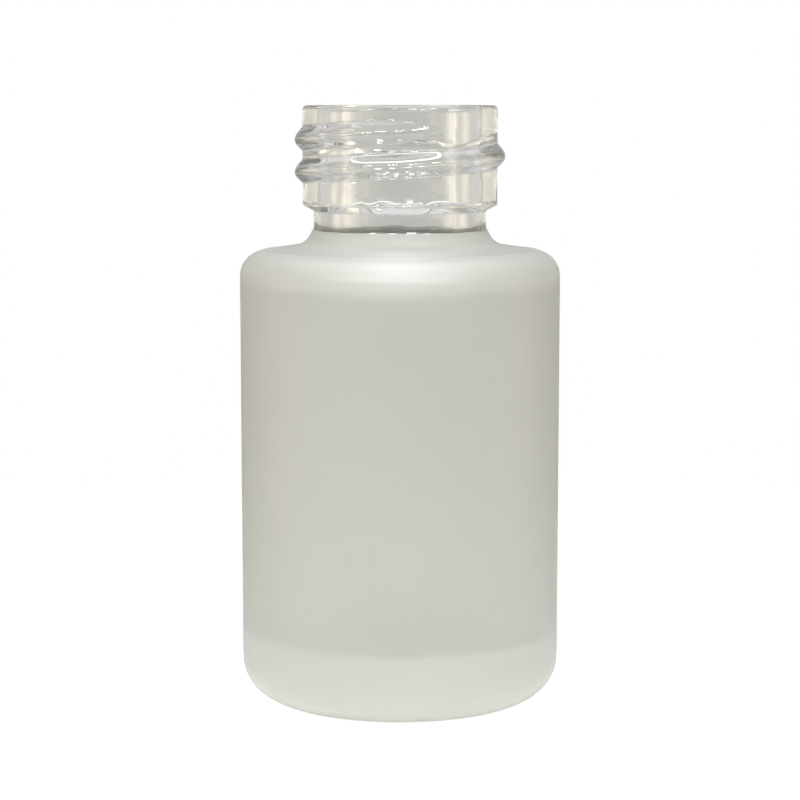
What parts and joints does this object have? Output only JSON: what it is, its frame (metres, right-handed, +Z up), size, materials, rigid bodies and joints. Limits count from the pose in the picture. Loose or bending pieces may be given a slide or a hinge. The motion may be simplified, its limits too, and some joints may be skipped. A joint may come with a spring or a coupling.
{
  "type": "foundation bottle",
  "caption": "Round frosted glass cosmetic bottle with a thick base and a clear, open screw neck that takes a pump or cap.",
  "frame": {"origin": "centre of the foot ring, on the surface the bottle stands on", "axes": "+Z up along the bottle's axis, out of the mouth; -Y is the front, where the thread's upper end runs out just past it towards +X"},
  "size_m": [0.03, 0.03, 0.0556],
  "materials": {
    "clear_glass": "clear, fire-polished flint glass",
    "frosting": "satin frosted, translucent"
  },
  "bodies": {
    "root": {"glass_bottle": "clear_glass", "frost_coat": "frosting"}
  },
  "joints": []
}
